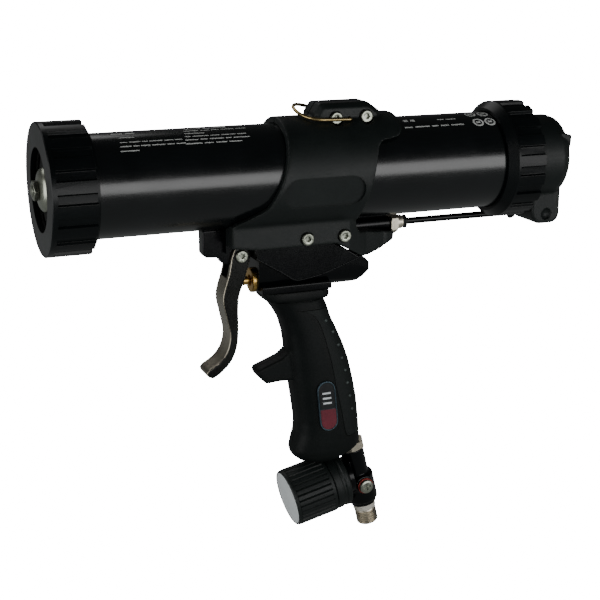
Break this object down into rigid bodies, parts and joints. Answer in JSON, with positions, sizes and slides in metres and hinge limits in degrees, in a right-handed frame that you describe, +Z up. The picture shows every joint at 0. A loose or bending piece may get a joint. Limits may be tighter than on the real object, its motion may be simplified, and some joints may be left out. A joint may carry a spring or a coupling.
{
  "type": "pneumatic caulking gun",
  "caption": "Pistol-grip pneumatic caulking gun: black tube barrel with ribbed ring nuts, sliding piston, trigger valve, pressure regulator with knurled knob, and a wire hanging bail.",
  "frame": {"origin": "centre of the rear cap's back face, on the barrel's axis", "axes": "+X along the barrel towards the rear, +Z up, so the front ring faces -X and the grip hangs towards -Z"},
  "size_m": [0.3143, 0.0708, 0.2595],
  "materials": {
    "barrel_anodised": "gloss black anodised tube",
    "ring_anodised": "gloss black anodised and ribbed",
    "casting_black": "gloss black coated casting",
    "nylon_matt": "matt dark grey moulding",
    "rubber_black": "matt black",
    "trigger_nickel": "satin nickel",
    "zinc_steel": "bright zinc plated",
    "fitting_nickel": "nickel plated brass",
    "brass": "turned brass",
    "spring_steel": "drawn wire",
    "nylon_white": "natural white",
    "label_grey": "printed silver grey",
    "seal_red": "red fibre",
    "aluminium_bare": "drawn tube"
  },
  "bodies": {
    "gun": {"barrel_tube": "barrel_anodised", "rear_cap_seal": "rubber_black", "rear_cap": "nylon_matt", "saddle_left": "nylon_matt", "saddle_right": "nylon_matt", "lug_bolt_1": "zinc_steel", "lug_nut_1": "zinc_steel", "lug_bolt_2": "zinc_steel", "lug_nut_2": "zinc_steel", "saddle_bolt_1": "zinc_steel", "saddle_nut_1": "zinc_steel", "saddle_bolt_2": "zinc_steel", "saddle_nut_2": "zinc_steel", "valve_housing": "casting_black", "valve_gland": "brass", "valve_seat": "brass", "valve_spring": "spring_steel", "trigger_pivot_screw": "zinc_steel", "trigger_pivot_nut": "zinc_steel", "outlet_fitting": "fitting_nickel", "outlet_collet": "nylon_matt", "rear_collet": "nylon_matt", "air_tube": "nylon_matt", "grip_left": "nylon_matt", "grip_right": "nylon_matt", "grip_back_strip": "rubber_black", "grip_badge": "label_grey", "grip_air_pipe": "aluminium_bare", "inlet_lock_nut": "fitting_nickel", "regulator_body": "casting_black", "regulator_diaphragm": "rubber_black", "regulator_bonnet": "nylon_matt", "regulator_spring": "spring_steel", "plug_washer": "seal_red", "plug_screw": "fitting_nickel", "inlet_collar": "nylon_white", "inlet_nipple": "fitting_nickel"},
    "piston": {"piston_body": "rubber_black", "piston_seal": "rubber_black", "piston_dome_washer": "zinc_steel", "piston_nut": "zinc_steel", "piston_bolt": "zinc_steel", "piston_back_plate": "zinc_steel"},
    "front_seal_carrier": {"front_seal": "rubber_black"},
    "front_ring": {"front_ring_nut": "ring_anodised"},
    "rear_ring": {"rear_ring_nut": "ring_anodised"},
    "bail": {"hanging_bail": "brass"},
    "trigger_lever": {"trigger": "trigger_nickel"},
    "stem": {"valve_stem": "brass", "valve_seal": "rubber_black"},
    "spring_seat": {"spring_button": "brass"},
    "screw": {"adjusting_screw": "zinc_steel"},
    "knob": {"regulator_knob": "nylon_matt", "knob_label_disc": "label_grey"}
  },
  "joints": [
    {"name": "trigger_pull", "type": "hinge", "parent": "gun", "child": "trigger_lever", "pos_m": [-0.2013, 0, -0.0432], "axis": [0, -1, 0], "range_deg": [0, 13], "stiffness_Nm_per_rad": 0.8, "springref_deg": -6.88},
    {"name": "stem_slide", "type": "slide", "parent": "gun", "child": "stem", "axis": [1, 0, 0], "range_m": [0, 0.004], "deforming": ["valve_spring"]},
    {"name": "piston_slide", "type": "slide", "parent": "gun", "child": "piston", "axis": [1, 0, 0], "range_m": [0, 0.24]},
    {"name": "bail_swing", "type": "hinge", "parent": "gun", "child": "bail", "pos_m": [-0.1383, 0, 0.0299], "axis": [0, 1, 0], "range_deg": [0, 150]},
    {"name": "front_ring_slide", "type": "slide", "parent": "gun", "child": "front_seal_carrier", "axis": [-1, 0, 0], "range_m": [0, 0.0121]},
    {"name": "front_ring_turn", "type": "hinge", "parent": "front_seal_carrier", "child": "front_ring", "pos_m": [-0.2973, 0, 0], "axis": [-1, 0, 0], "range_deg": [0, 1440]},
    {"name": "rear_ring_turn", "type": "hinge", "parent": "gun", "child": "rear_ring", "pos_m": [-0.0353, 0, 0], "axis": [1, 0, 0], "range_deg": [0, 90]},
    {"name": "spring_seat_slide", "type": "slide", "parent": "gun", "child": "spring_seat", "axis": [-0.9744, 0, -0.225], "range_m": [0, 0.00302]},
    {"name": "pressure_adjust", "type": "hinge", "parent": "spring_seat", "child": "screw", "pos_m": [-0.1263, 0, -0.186], "axis": [-0.9744, 0, -0.225], "range_deg": [0, 1080]},
    {"name": "knob_lock_pull", "type": "slide", "parent": "screw", "child": "knob", "axis": [-0.9744, 0, -0.225], "range_m": [0, 0.0025]}
  ],
  "couplings": [
    {"joint": "stem_slide", "follows": "trigger_pull", "m_per_rad": 0.0162},
    {"joint": "front_ring_slide", "follows": "front_ring_turn", "m_per_rad": 0.00047746},
    {"joint": "spring_seat_slide", "follows": "pressure_adjust", "m_per_rad": 0.00015915}
  ]
}
